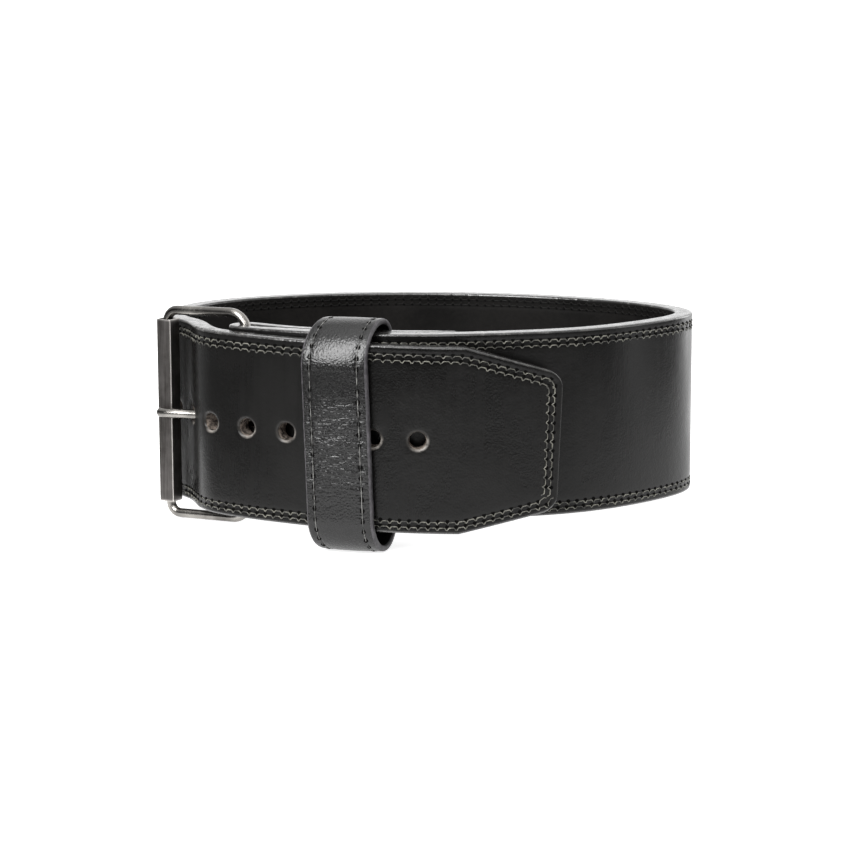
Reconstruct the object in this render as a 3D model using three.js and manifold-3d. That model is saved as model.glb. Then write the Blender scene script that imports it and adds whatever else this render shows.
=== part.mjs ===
// A weightlifting belt, fastened round an empty waist and standing on its lower edge.
// Millimetres. +X runs along the front to the right, +Y from the front to the back, +Z up.
import * as THREE from 'three';
import { mergeVertices } from 'three/addons/utils/BufferGeometryUtils.js';
import Module from 'manifold-3d';

const manifold = await Module();
manifold.setup();

// Sizes that can be set one by one.
const STRAP_WIDTH = 100;
const STRAP_THICKNESS = 10;
const STRAP_BEVEL = 1.4;
const WAIST_ACROSS = 296; // outer face of the body, left to right
const WAIST_DEEP = 184; // outer face of the body, front to back

const FOLD_THICKNESS = 7; // the pared end that wraps the buckle's bar
const PARED_LENGTH = 36; // over this stretch the strap thins towards the fold
const RETURN_LENGTH = 127; // the folded end, measured from the bar along the inside
const RETURN_TIP_THICKNESS = 3.5;
const RETURN_TIP_LENGTH = 20; // over this stretch the folded end thins to its tip
const LAYER_GAP = 0.4;
const TONGUE_GAP = 0.9; // between the tongue and the body under it

const RISE_DELAY = 2; // past the roller
const RISE_LENGTH = 42; // over this stretch the tongue climbs onto the body
const TIP_DROOP = 8.3; // the tongue's tip hangs this much below the body's line
const DROOP_RUN_IN = 130; // the sag begins this far before the roller

const CLIP_LENGTH = 53; // slanted corners of the tongue's end
const CLIP_DEPTH = 13.5;
const TIP_CORNER = 8;

const HOLE_DIAMETER = 9;
const HOLE_PITCH = 23.6;
const HOLE_TO_TIP = 75.8;
const HOLE_COUNT = 10;
const HOLES_SHOWN = 6; // holes between the fastened one and the tip
const PRONG_REACH = 20.2; // from the roller to the fastened hole, along the strap

const WIRE_DIAMETER = 5.2;
const FRAME_REACH = 51; // from the fold's bar to the roller, along the waist line
const FRAME_ROOM = 4.3; // between the strap's edges and the frame's sides
const FRAME_SAG = 2.1; // at the roller, the frame hangs this much below the strap's middle
const FRAME_LIFT = 1.3; // its bar end is this much higher than its roller end
const FRAME_ROLLER_CORNER = 6;
const FRAME_BAR_CORNER = 11;

const ROLLER_SIDE = 9.4;
const ROLLER_CORNER = 1.1;
const ROLLER_OVERHANG = 1;
const ROLLER_PLAY = 0.35;

const PRONG_DIAMETER = 5.3;
const PRONG_OVERSHOOT = 2.3; // past the roller's middle
const PRONG_DIP_SHARE = 0.45; // of its height on the roller, half way to the bar
const SLOT_ROOM = 1.2;

const KEEPER_WIDTH = 33.2;
const KEEPER_THICKNESS = 3.2;
const KEEPER_BEVEL = 0.7;
const KEEPER_PLACE = 70; // middle of the keeper, from the fold's bar along the waist line
const KEEPER_ROOM_ABOVE = 4.2; // over the body's upper edge
const KEEPER_ROOM_BELOW = 9.7; // under the tongue's lower edge
const KEEPER_EASE = 0.7; // between the keeper and the corners of the layers in it
const KEEPER_TOP_ARCH = 14;
const KEEPER_BOTTOM_ARCH = 19;
const KEEPER_LEAN_DEG = 1.8; // its top leans to the left
const KEEPER_SKEW = 0.21; // its back lies further along the strap, for each millimetre of depth

const TOUCH_GAP = 0.3; // between neighbours that touch on the real belt

// The belt stands on the keeper and on the body's back edge, so it leans by these angles.
const REST_PITCH_DEG = -5.23;
const REST_ROLL_DEG = 1.11;

const WIRE_SIDES = 10;
const HOLE_SIDES = 14;
const HALF_TURN_STEPS = 16;
const CORNER_STEPS = 6;
const PRONG_STEPS = 12;
const PRONG_EYE_STEPS = 16;
const BORE_STEPS = 12;
const STATION_STEP = 8;
const FOLD_STEP = 2.4;
const ROUTE_STEP = 1;
const WELD = 1e-4; // corners nearer than this are one corner

// The waist line is the body's outer face seen from above. The first row lies at the
// buckle's inner bar, and the rows go on to the right.
const WAIST_LINE = [
  { across: -0.353, deep: 0.181 },
  { across: -0.196, deep: 0.057 },
  { across: -0.037, deep: 0.002 },
  { across: 0.125, deep: 0.029 },
  { across: 0.279, deep: 0.106 },
  { across: 0.412, deep: 0.264 },
  { across: 0.497, deep: 0.478 },
  { across: 0.436, deep: 0.701 },
  { across: 0.299, deep: 0.861 },
  { across: 0.145, deep: 0.957 },
  { across: -0.017, deep: 0.999 },
  { across: -0.179, deep: 0.983 },
  { across: -0.334, deep: 0.899 },
  { across: -0.459, deep: 0.734 },
  { across: -0.498, deep: 0.495 },
  { across: -0.436, deep: 0.321 },
];

const UP = new THREE.Vector3(0, 0, 1);
const radians = THREE.MathUtils.degToRad;
const blend = THREE.MathUtils.lerp;
const smooth = THREE.MathUtils.smoothstep;

const waistLine = new THREE.CatmullRomCurve3(
  WAIST_LINE.map(({ across, deep }) => new THREE.Vector3(across * WAIST_ACROSS, deep * WAIST_DEEP, 0)),
  true,
  'centripetal',
);
waistLine.arcLengthDivisions = 1000;
const waistLength = waistLine.getLength();
const rollerStation = waistLength - FRAME_REACH;
const tonguePast = PRONG_REACH + HOLES_SHOWN * HOLE_PITCH + HOLE_TO_TIP;
const sagRun = DROOP_RUN_IN + tonguePast;
const middle = STRAP_WIDTH / 2;

/** The point that stands off the waist line at a station, with the directions there. */
function offWaist(station, standOff) {
  const share = THREE.MathUtils.euclideanModulo(station, waistLength) / waistLength;
  const along = waistLine.getTangentAt(share);
  const out = new THREE.Vector3(along.y, -along.x, 0);
  return { point: waistLine.getPointAt(share).addScaledVector(out, standOff), along, out };
}

/** How far the strap has sagged at a station, and how steeply. */
function sagAt(station) {
  const run = Math.max(0, station - rollerStation + DROOP_RUN_IN);
  return { drop: -TIP_DROOP * (run / sagRun) ** 2, tilt: (2 * TIP_DROOP * run) / sagRun ** 2 };
}

const bodyThickness = (station) => blend(FOLD_THICKNESS, STRAP_THICKNESS, smooth(station, 0, PARED_LENGTH));
const riseStart = rollerStation + RISE_DELAY;
const tongueRise = (station) =>
  (STRAP_THICKNESS + TONGUE_GAP) * smooth(station, riseStart, riseStart + RISE_LENGTH);

const foldInside = WIRE_DIAMETER / 2 + TOUCH_GAP;
const foldRadius = foldInside + FOLD_THICKNESS / 2;
const bar = offWaist(0, -(FOLD_THICKNESS + foldInside));

/** The folded end on the inside of the body, from its tip to the bar. */
function returnLeg() {
  const route = [];
  for (let station = RETURN_LENGTH; station > 0; station -= ROUTE_STEP) {
    const apart = blend(2 * foldInside, LAYER_GAP, smooth(station, 0, PARED_LENGTH));
    const thinned = smooth(station, RETURN_LENGTH - RETURN_TIP_LENGTH, RETURN_LENGTH);
    const thick = blend(FOLD_THICKNESS, RETURN_TIP_THICKNESS, thinned);
    const { point } = offWaist(station, -(bodyThickness(station) + apart + thick / 2));
    route.push({ point, thick, drop: 0, tilt: 0 });
  }
  return route;
}

/** The half turn round the buckle's inner bar. */
function fold() {
  return Array.from({ length: HALF_TURN_STEPS + 1 }, (_, step) => {
    const turn = (Math.PI * step) / HALF_TURN_STEPS;
    const point = bar.point
      .clone()
      .addScaledVector(bar.out, -foldRadius * Math.cos(turn))
      .addScaledVector(bar.along, -foldRadius * Math.sin(turn));
    return { point, thick: FOLD_THICKNESS, drop: 0, tilt: 0 };
  });
}

/** The body, round the waist and past the buckle, as far as the tongue can reach. */
function bodyAndTongue() {
  const route = [];
  const end = rollerStation + tonguePast + RISE_LENGTH;
  for (let station = ROUTE_STEP; station < end; station += ROUTE_STEP) {
    const thick = bodyThickness(station);
    const { point } = offWaist(station, tongueRise(station) - thick / 2);
    route.push({ point, thick, ...sagAt(station), station });
  }
  return route;
}

/** Adds to each place on a route its length from the start and its direction. */
function measured(route) {
  let length = 0;
  return route.map((place, index) => {
    const before = route[Math.max(0, index - 1)].point;
    const after = route[Math.min(route.length - 1, index + 1)].point;
    length += place.point.distanceTo(before);
    return { ...place, length, along: after.clone().sub(before).normalize() };
  });
}

const strapRoute = measured([...returnLeg(), ...fold(), ...bodyAndTongue()]);
const lengthAtRoller = strapRoute.find((place) => place.station >= rollerStation).length;
const strapLength = lengthAtRoller + tonguePast;

/** A place on the strap's middle line at a length from its hidden end. */
function strapPlace(length) {
  const next = Math.max(1, strapRoute.findIndex((place) => place.length >= length));
  const [a, b] = [strapRoute[next - 1], strapRoute[next]];
  const share = (length - a.length) / (b.length - a.length);
  const along = a.along.clone().lerp(b.along, share).normalize();
  return {
    point: a.point.clone().lerp(b.point, share),
    along,
    out: new THREE.Vector3(along.y, -along.x, 0),
    thick: blend(a.thick, b.thick, share),
    drop: blend(a.drop, b.drop, share),
    tilt: blend(a.tilt, b.tilt, share),
  };
}

/** How far the strap's edges draw in near the tip. */
function edgeInset(toTip) {
  const slant = CLIP_DEPTH * Math.max(0, 1 - toTip / CLIP_LENGTH);
  const round = TIP_CORNER - Math.sqrt(TIP_CORNER ** 2 - Math.max(0, TIP_CORNER - toTip) ** 2);
  return slant + round;
}

/** A point of the strap: off its middle line by `aside`, at a height over its lower edge. */
function strapPoint(place, aside, height) {
  return place.point
    .clone()
    .addScaledVector(place.out, aside)
    .addScaledVector(place.along, place.tilt * (height - middle))
    .addScaledVector(UP, height + place.drop);
}

/** The corners of a bevelled rectangle, from the outer upper one downwards. */
function bevelledRectangle(half, low, high, bevel) {
  return [
    [half, high - bevel],
    [half, low + bevel],
    [half - bevel, low],
    [bevel - half, low],
    [-half, low + bevel],
    [-half, high - bevel],
    [bevel - half, high],
    [half - bevel, high],
  ];
}

/** A closed surface through rings of points, capped at its ends or joined as a loop. */
function loft(rings, isLoop = false) {
  const count = rings[0].length;
  const faces = [];
  rings.slice(isLoop ? 0 : 1).forEach((_, row) => {
    const next = (row + 1) % rings.length;
    for (let k = 0; k < count; k += 1) {
      const side = (k + 1) % count;
      faces.push(row * count + k, row * count + side, next * count + side);
      faces.push(row * count + k, next * count + side, next * count + k);
    }
  });
  const end = (rings.length - 1) * count;
  for (let k = 1; k < count - 1 && !isLoop; k += 1) {
    faces.push(0, k + 1, k, end, end + k, end + k + 1);
  }
  const geometry = new THREE.BufferGeometry().setFromPoints(rings.flat());
  return geometry.setIndex(faces);
}

/** A round section of wire at a point, square to its travel; `side` is square to the travel. */
function wireSection(point, travel, side, radius) {
  const other = new THREE.Vector3().crossVectors(side, travel);
  return Array.from({ length: WIRE_SIDES }, (_, k) => {
    const turn = (2 * Math.PI * (k + 0.5)) / WIRE_SIDES;
    return point
      .clone()
      .addScaledVector(other, radius * Math.cos(turn))
      .addScaledVector(side, radius * Math.sin(turn));
  });
}

/** Wire along points that lie in the plane square to `side`. */
function wire(points, side, radius, isLoop = false) {
  const pick = (index) =>
    isLoop
      ? points[(index + points.length) % points.length]
      : points[THREE.MathUtils.clamp(index, 0, points.length - 1)];
  const rings = points.map((point, index) => {
    const travel = pick(index + 1).clone().sub(pick(index - 1)).normalize();
    return wireSection(point, travel, side, radius);
  });
  return loft(rings, isLoop);
}

/** A geometry as a solid that can be joined and cut. */
function toSolid(geometry) {
  const whole = welded(geometry);
  const mesh = new manifold.Mesh({
    numProp: 3,
    vertProperties: new Float32Array(whole.getAttribute('position').array),
    triVerts: new Uint32Array(whole.index.array),
  });
  return new manifold.Manifold(mesh);
}

/** A geometry whose equal corners share one vertex. */
function welded(geometry) {
  const bare = new THREE.BufferGeometry();
  bare.setAttribute('position', geometry.getAttribute('position'));
  bare.setIndex(geometry.index);
  return mergeVertices(bare, WELD);
}

/** A solid as a geometry with flat faces. */
function toGeometry(solid) {
  const { vertProperties, triVerts } = solid.getMesh();
  const geometry = new THREE.BufferGeometry();
  geometry.setAttribute('position', new THREE.BufferAttribute(vertProperties, 3));
  geometry.setIndex(new THREE.BufferAttribute(triVerts, 1));
  return geometry;
}

/** A round bar from one point to another. */
function roundBar(from, to, radius, sides) {
  const travel = to.clone().sub(from);
  const geometry = new THREE.CylinderGeometry(radius, radius, travel.length(), sides);
  const axis = new THREE.Vector3(0, 1, 0);
  geometry.applyQuaternion(new THREE.Quaternion().setFromUnitVectors(axis, travel.normalize()));
  geometry.translate(...from.clone().add(to).multiplyScalar(0.5).toArray());
  return toSolid(geometry);
}

// The buckle's plane runs from the roller's axis to the bar in the fold.
const rollerAxis = offWaist(rollerStation, ROLLER_SIDE * Math.SQRT1_2 + TOUCH_GAP).point;
const buckleLength = rollerAxis.distanceTo(bar.point);
const buckleAlong = bar.point.clone().sub(rollerAxis).normalize();
const buckleOut = new THREE.Vector3(buckleAlong.y, -buckleAlong.x, 0);
const prongHeight = middle + sagAt(rollerStation + PRONG_REACH).drop;

/** A point of the buckle: along from the roller's axis, outwards from its plane, and up. */
function bucklePoint(along, out, height) {
  return rollerAxis
    .clone()
    .addScaledVector(buckleAlong, along)
    .addScaledVector(buckleOut, out)
    .addScaledVector(UP, height);
}

/** The frame's middle line: a rectangle whose corners are tighter at the roller. */
function frameLoop() {
  const reach = middle + FRAME_ROOM + WIRE_DIAMETER / 2;
  const corners = [
    { along: buckleLength, up: 1, radius: FRAME_BAR_CORNER, start: 0 },
    { along: 0, up: 1, radius: FRAME_ROLLER_CORNER, start: Math.PI / 2 },
    { along: 0, up: -1, radius: FRAME_ROLLER_CORNER, start: Math.PI },
    { along: buckleLength, up: -1, radius: FRAME_BAR_CORNER, start: (3 * Math.PI) / 2 },
  ];
  return corners.flatMap(({ along, up, radius, start }) =>
    Array.from({ length: CORNER_STEPS + 1 }, (_, step) => {
      const turn = start + (Math.PI / 2) * (step / CORNER_STEPS);
      const inner = along === 0 ? radius : along - radius;
      const reached = inner + radius * Math.cos(turn);
      const height = middle - FRAME_SAG + (FRAME_LIFT * reached) / buckleLength;
      return bucklePoint(reached, 0, height + up * (reach - radius) + radius * Math.sin(turn));
    }),
  );
}

const frameWire = (extra = 0) => toSolid(wire(frameLoop(), buckleOut, WIRE_DIAMETER / 2 + extra, true));

/** The prong: a wire that rests on the roller, dips through the tongue and loops round the bar. */
function prongWire(extra = 0) {
  const radius = PRONG_DIAMETER / 2 + extra;
  const onRoller = (ROLLER_SIDE + PRONG_DIAMETER) / 2 + TOUCH_GAP;
  const eyeRadius = foldInside + PRONG_DIAMETER / 2;
  const toEye = buckleLength - eyeRadius;
  const path = new THREE.CatmullRomCurve3([
    bucklePoint(-PRONG_OVERSHOOT, onRoller, prongHeight),
    bucklePoint(0, onRoller, prongHeight),
    bucklePoint(ROLLER_SIDE / 2, onRoller, prongHeight),
    bucklePoint(blend(ROLLER_SIDE / 2, toEye, 0.5), onRoller * PRONG_DIP_SHARE, prongHeight),
    bucklePoint(toEye, 0, prongHeight),
  ]);
  const stem = toSolid(wire(path.getSpacedPoints(PRONG_STEPS), UP, radius));
  const turns = Array.from({ length: PRONG_EYE_STEPS }, (_, k) => (2 * Math.PI * k) / PRONG_EYE_STEPS);
  const ring = turns.map((turn) =>
    bar.point
      .clone()
      .addScaledVector(buckleAlong, eyeRadius * Math.cos(turn))
      .addScaledVector(buckleOut, eyeRadius * Math.sin(turn))
      .addScaledVector(UP, prongHeight),
  );
  const eye = toSolid(wire(ring, UP, radius, true));
  return manifold.Manifold.union(stem, eye);
}

/** The tool that opens the fold for the prong's eye. */
function foldSlot() {
  const half = PRONG_DIAMETER / 2 + SLOT_ROOM;
  const reach = foldInside + FOLD_THICKNESS + TONGUE_GAP / 3;
  const from = bar.point.clone().addScaledVector(UP, prongHeight - half);
  const to = bar.point.clone().addScaledVector(UP, prongHeight + half);
  return roundBar(from, to, reach, HOLE_SIDES * 2);
}

/** The tools that punch the row of holes. */
function holePunches() {
  const furthest = strapLength - HOLE_TO_TIP;
  return Array.from({ length: HOLE_COUNT }, (_, k) => {
    const place = strapPlace(furthest - k * HOLE_PITCH);
    const reach = place.thick / 2 + TONGUE_GAP / 3;
    const from = strapPoint(place, -reach, middle);
    const to = strapPoint(place, reach, middle);
    return roundBar(from, to, HOLE_DIAMETER / 2, HOLE_SIDES);
  });
}

/** The lengths at which the strap is given a section. */
function sectionLengths() {
  const lengths = [0];
  const foldStart = RETURN_LENGTH * 0.8;
  const foldEnd = RETURN_LENGTH * 1.4;
  const clipStart = strapLength - CLIP_LENGTH;
  while (lengths.at(-1) < clipStart - STATION_STEP) {
    const { point } = strapPlace(lengths.at(-1));
    const near = point.distanceTo(bar.point) < 2 * foldRadius;
    const inFold = near && lengths.at(-1) > foldStart && lengths.at(-1) < foldEnd;
    lengths.push(lengths.at(-1) + (inFold ? FOLD_STEP : STATION_STEP));
  }
  const towardsTip = [1, 0.84, 0.67, 0.5, 0.33];
  const roundTheCorner = [1, 0.6, 0.3, 0.12, 0];
  return [
    ...lengths,
    ...towardsTip.map((share) => strapLength - share * CLIP_LENGTH),
    ...roundTheCorner.map((share) => strapLength - share * TIP_CORNER),
  ];
}

function strap() {
  const rings = sectionLengths().map((length) => {
    const place = strapPlace(length);
    const inset = edgeInset(strapLength - length);
    const section = bevelledRectangle(place.thick / 2, inset, STRAP_WIDTH - inset, STRAP_BEVEL);
    return section.map(([aside, height]) => strapPoint(place, aside, height));
  });
  const cuts = [...holePunches(), foldSlot(), frameWire(TOUCH_GAP), prongWire(TOUCH_GAP)];
  return toGeometry(toSolid(loft(rings)).subtract(manifold.Manifold.union(cuts)));
}

function buckleFrame() {
  return toGeometry(frameWire());
}

function prong() {
  return toGeometry(prongWire());
}

function roller() {
  const half = ROLLER_SIDE / 2;
  const flat = half - ROLLER_CORNER;
  const outline = [
    [half, -flat], [half, flat], [flat, half], [-flat, half],
    [-half, flat], [-half, -flat], [-flat, -half], [flat, -half],
  ];
  const shape = new THREE.Shape(outline.map(([x, y]) => new THREE.Vector2(x, y)));
  const bore = new THREE.Path().absarc(0, 0, WIRE_DIAMETER / 2 + ROLLER_PLAY, 0, 2 * Math.PI, true);
  shape.holes.push(bore);
  const length = STRAP_WIDTH + 2 * ROLLER_OVERHANG;
  return new THREE.ExtrudeGeometry(shape, { depth: length, bevelEnabled: false, curveSegments: BORE_STEPS });
}

/** Half the depth inside the keeper, which clears the corners of the layers that it holds. */
function keeperHalfDepth(halfStack, crowns) {
  const depths = crowns.flatMap(({ room, arch }) => {
    const corners = [
      { deep: halfStack, drop: room + STRAP_BEVEL },
      { deep: halfStack - STRAP_BEVEL, drop: room },
    ];
    return corners.map(({ deep, drop }) => {
      const upTheArch = Math.max(0, 1 - (drop - KEEPER_EASE) / arch);
      return (deep + KEEPER_EASE) / Math.sqrt(1 - upTheArch ** 2);
    });
  });
  return Math.max(...depths);
}

/** The keeper's outline: upright sides between two half ellipses, from its front upwards. */
function keeperOutline(halfDepth, halfHeight, topArch, bottomArch) {
  const half = (side, arch) =>
    Array.from({ length: HALF_TURN_STEPS + 1 }, (_, step) => {
      const turn = (Math.PI * step) / HALF_TURN_STEPS;
      return {
        deep: side * halfDepth * Math.cos(turn),
        high: side * (halfHeight - arch + arch * Math.sin(turn)),
      };
    });
  return [...half(1, topArch), ...half(-1, bottomArch)];
}

function keeper() {
  const outside = STRAP_THICKNESS + TONGUE_GAP;
  const inside = STRAP_THICKNESS + LAYER_GAP + FOLD_THICKNESS;
  const centre = (outside - inside) / 2;
  const halfStack = (outside + inside) / 2;
  const station = waistLength + KEEPER_PLACE;
  const sag = -sagAt(station).drop;
  const nod = sag / (2 * halfStack);
  const wall = KEEPER_THICKNESS;
  const top = STRAP_WIDTH + KEEPER_ROOM_ABOVE;
  const bottom = -sag - KEEPER_ROOM_BELOW;
  const halfHeight = (top - bottom) / 2;
  const crowns = [
    { room: KEEPER_ROOM_ABOVE + sag / 2, arch: KEEPER_TOP_ARCH },
    { room: KEEPER_ROOM_BELOW + sag / 2, arch: KEEPER_BOTTOM_ARCH },
  ];
  const halfDepth = keeperHalfDepth(halfStack, crowns);
  const lean = Math.tan(radians(KEEPER_LEAN_DEG));
  const outline = (extra) =>
    keeperOutline(halfDepth + extra, halfHeight + extra, KEEPER_TOP_ARCH + extra, KEEPER_BOTTOM_ARCH + extra);
  const outer = outline(wall);
  const section = bevelledRectangle(wall / 2, -KEEPER_WIDTH / 2, KEEPER_WIDTH / 2, KEEPER_BEVEL);
  const rings = outline(0).map((from, index) =>
    section.map(([aside, along]) => {
      const share = 0.5 + aside / wall;
      const off = centre + blend(from.deep, outer[index].deep, share);
      const height = blend(from.high, outer[index].high, share);
      const shifted = station - along - lean * height - KEEPER_SKEW * (off - centre);
      const up = (top + bottom) / 2 + height - nod * (off - centre);
      return offWaist(shifted, off).point.addScaledVector(UP, up);
    }),
  );
  return loft(rings, true);
}

const leather = (color, roughness) => new THREE.MeshStandardMaterial({ color, roughness, metalness: 0 });
const steel = (color, roughness) => new THREE.MeshStandardMaterial({ color, roughness, metalness: 1 });

function addMesh(group, name, geometry, material) {
  const mesh = new THREE.Mesh(geometry, material);
  mesh.name = name;
  group.add(mesh);
  return mesh;
}

/** Sets the leaning belt down with the middle of its box over the origin. */
function standOnFloor(group) {
  group.rotation.set(radians(REST_PITCH_DEG), radians(REST_ROLL_DEG), 0);
  group.updateMatrixWorld(true);
  const box = new THREE.Box3().setFromObject(group, true);
  const centre = box.getCenter(new THREE.Vector3());
  group.position.set(-centre.x, -centre.y, -box.min.z);
}

const belt = new THREE.Group();
addMesh(belt, 'strap', strap(), leather(0x2b2b2c, 0.42));
addMesh(belt, 'keeper', keeper(), leather(0x3a3a3b, 0.35));
addMesh(belt, 'buckle_frame', buckleFrame(), steel(0xa8a49e, 0.3));
addMesh(belt, 'prong', prong(), steel(0xa8a49e, 0.3));
const rollerMesh = addMesh(belt, 'roller', roller(), steel(0x5a5552, 0.4));
rollerMesh.position.copy(rollerAxis);
rollerMesh.position.z = middle + sagAt(rollerStation).drop - STRAP_WIDTH / 2 - ROLLER_OVERHANG;
rollerMesh.rotation.z = Math.atan2(buckleAlong.y, buckleAlong.x);
standOnFloor(belt);

const object = new THREE.Group();
object.add(belt);
export default object;
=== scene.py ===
"""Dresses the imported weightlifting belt: stitched leather, a glossy keeper and a worn wire buckle."""

import math

import bmesh
import bpy
import numpy as np
from mathutils import Matrix, Vector, noise

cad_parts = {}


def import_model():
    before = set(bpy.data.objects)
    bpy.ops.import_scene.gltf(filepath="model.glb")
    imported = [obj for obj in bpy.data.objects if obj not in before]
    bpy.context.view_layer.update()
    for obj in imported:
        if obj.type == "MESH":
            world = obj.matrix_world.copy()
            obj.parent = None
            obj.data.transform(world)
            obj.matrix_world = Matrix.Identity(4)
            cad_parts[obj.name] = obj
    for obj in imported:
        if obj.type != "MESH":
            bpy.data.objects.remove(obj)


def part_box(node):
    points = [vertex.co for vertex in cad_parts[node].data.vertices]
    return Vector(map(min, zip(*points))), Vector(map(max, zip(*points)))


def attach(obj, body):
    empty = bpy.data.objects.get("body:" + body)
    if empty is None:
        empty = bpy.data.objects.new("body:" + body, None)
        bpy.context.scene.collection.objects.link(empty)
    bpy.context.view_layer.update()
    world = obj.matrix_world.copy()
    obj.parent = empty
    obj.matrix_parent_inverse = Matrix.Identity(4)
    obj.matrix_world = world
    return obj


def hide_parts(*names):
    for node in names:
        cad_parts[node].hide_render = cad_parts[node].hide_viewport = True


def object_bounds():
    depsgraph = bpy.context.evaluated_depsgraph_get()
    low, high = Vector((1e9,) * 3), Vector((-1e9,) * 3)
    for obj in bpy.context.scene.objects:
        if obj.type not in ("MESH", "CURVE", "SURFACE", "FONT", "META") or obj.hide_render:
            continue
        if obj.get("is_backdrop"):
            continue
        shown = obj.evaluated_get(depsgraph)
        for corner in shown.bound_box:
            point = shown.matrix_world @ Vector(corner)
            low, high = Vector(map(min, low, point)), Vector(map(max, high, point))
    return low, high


MM = 0.001

# Driving sizes of the belt, as in the part's source.
STRAP_WIDTH = 100 * MM
STRAP_THICKNESS = 10 * MM
WAIST_ACROSS = 296 * MM
WAIST_DEEP = 184 * MM
FOLD_THICKNESS = 7 * MM
PARED_LENGTH = 36 * MM
RETURN_LENGTH = 127 * MM
RETURN_TIP_THICKNESS = 3.5 * MM
RETURN_TIP_LENGTH = 20 * MM
LAYER_GAP = 0.4 * MM
TONGUE_GAP = 0.9 * MM
RISE_DELAY = 2 * MM
RISE_LENGTH = 42 * MM
TIP_DROOP = 8.3 * MM
DROOP_RUN_IN = 130 * MM
CLIP_LENGTH = 53 * MM
CLIP_DEPTH = 13.5 * MM
TIP_CORNER = 8 * MM
HOLE_PITCH = 23.6 * MM
HOLE_TO_TIP = 75.8 * MM
HOLE_COUNT = 10
HOLES_SHOWN = 6
PRONG_REACH = 20.2 * MM
WIRE_DIAMETER = 5.2 * MM
FRAME_REACH = 51 * MM
FRAME_ROOM = 4.3 * MM
FRAME_SAG = 2.1 * MM
FRAME_LIFT = 1.3 * MM
FRAME_ROLLER_CORNER = 6 * MM
FRAME_BAR_CORNER = 11 * MM
ROLLER_SIDE = 9.4 * MM
ROLLER_CORNER = 1.1 * MM
ROLLER_OVERHANG = 1 * MM
ROLLER_SHEET = 1.1 * MM
PRONG_DIAMETER = 5.3 * MM
PRONG_OVERSHOOT = 2.3 * MM
SLOT_ROOM = 1.2 * MM
KEEPER_WIDTH = 33.2 * MM
KEEPER_THICKNESS = 3.2 * MM
KEEPER_PLACE = 70 * MM
KEEPER_ROOM_ABOVE = 4.2 * MM
KEEPER_ROOM_BELOW = 9.7 * MM
KEEPER_EASE = 0.7 * MM
KEEPER_TOP_ARCH = 14 * MM
KEEPER_BOTTOM_ARCH = 19 * MM
KEEPER_LEAN_DEG = 1.8
KEEPER_SKEW = 0.21
TOUCH_GAP = 0.3 * MM
REST_PITCH_DEG = -5.23
REST_ROLL_DEG = 1.11

# The waist line seen from above, as shares of the two waist sizes. The first row lies at the
# buckle's inner bar, and the rows go on to the right.
WAIST_LINE = [
    (-0.353, 0.181), (-0.196, 0.057), (-0.037, 0.002), (0.125, 0.029),
    (0.279, 0.106), (0.412, 0.264), (0.497, 0.478), (0.436, 0.701),
    (0.299, 0.861), (0.145, 0.957), (-0.017, 0.999), (-0.179, 0.983),
    (-0.334, 0.899), (-0.459, 0.734), (-0.498, 0.495), (-0.436, 0.321),
]

# Sizes of the finish.
EDGE_ROUND = 1.1 * MM
RIPPLE = 0.09 * MM
SEAM_ROWS = (4.0 * MM, 7.0 * MM)
SEAM_PITCH = 4.95 * MM
SEAM_CORNER = 4 * MM
SEAM_SINK = 0.25 * MM
SEAM_STAND = 0.3 * MM
SEAM_DIP = 1.6 * MM
THREAD_RADIUS = 0.27 * MM
PIT_RADII = 4.1
KEEPER_SEAM = 4.6 * MM
KEEPER_PITCH = 5.75 * MM
KEEPER_CORNER = 0.9 * MM
KEEPER_SOFTER_ARCH = 4 * MM
KEEPER_SINK = 0.3 * MM
KEEPER_CROWN = 0.25 * MM
KEEPER_UNEVEN = 0.3 * MM
CREASE_HEIGHT = 43 * MM
CREASE_SPREAD = (34 * MM, 16 * MM)
LEAST_CREASED = 0.12
PRONG_END_ROUND = 1.2 * MM
ROLLER_RAGGED = 0.35 * MM

# How finely the curves and the meshes are drawn.
WAIST_SAMPLES = 4001
FOLD_SAMPLES = 33
ROUTE_STEP = 0.5 * MM
ROUTE_SPARE = 40 * MM
PATCH_CELLS = 4
CELLS_PER_PITCH = 12
MIDDLE_CELL = 2 * MM
RING_STEP = 2.5 * MM
FOLD_REACH = 20 * MM
FOLD_RING_STEP = 1.0 * MM
CLIP_RING_STEP = 1.5 * MM
ARC_TURNS = np.radians([22.5, 45, 67.5])
EDGE_FLATS = 4
KEEPER_FLATS = 3
KEEPER_RING_STEP = 1.1 * MM
KEEPER_COLUMNS = (2.4 * MM, 3.6 * MM, KEEPER_SEAM, 5.6 * MM)
KEEPER_VALLEY = ((3.4 * MM, KEEPER_SEAM, 5.8 * MM), (0, 1, 0))
KEEPER_INNER_COLUMN = 7 * MM
STITCH_SEGMENTS = 12
TUBE_SIDES = 20
TUBE_STEP = 2 * MM
PRONG_SAMPLES = 50
EYE_SAMPLES = 32

# The camera that fits the photograph, in the waist's upright frame.
PHOTO_SIDE = 852
FOCAL_PIXELS = 2700
CAMERA_PLACE = Vector((-2 * MM, -1409.4 * MM, 300.95 * MM))
CAMERA_DOWN_DEG = 10.05
CAMERA_ROLL_DEG = -0.137
SENSOR = 36.0

# The stage: the camera's field on the floor, and the floor's own light.
CAMERA_BACK = -1.5
FIELD_SLOPE = 0.17
FIELD_FRONT = 0.54
FLOOR_REACH = 9.0
FLOOR_COLOUR = (0.62, 0.62, 0.62)
FLOOR_GLOW = (0.8, 0.8, 0.8)
BLACK = (0, 0, 0)

MIDDLE = STRAP_WIDTH / 2


def smoothstep(value, low, high):
    share = np.clip((value - low) / (high - low), 0, 1)
    return share * share * (3 - 2 * share)


def blend(a, b, share):
    return a + (b - a) * share


def unit(vectors):
    return vectors / np.linalg.norm(vectors, axis=-1, keepdims=True)


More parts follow.
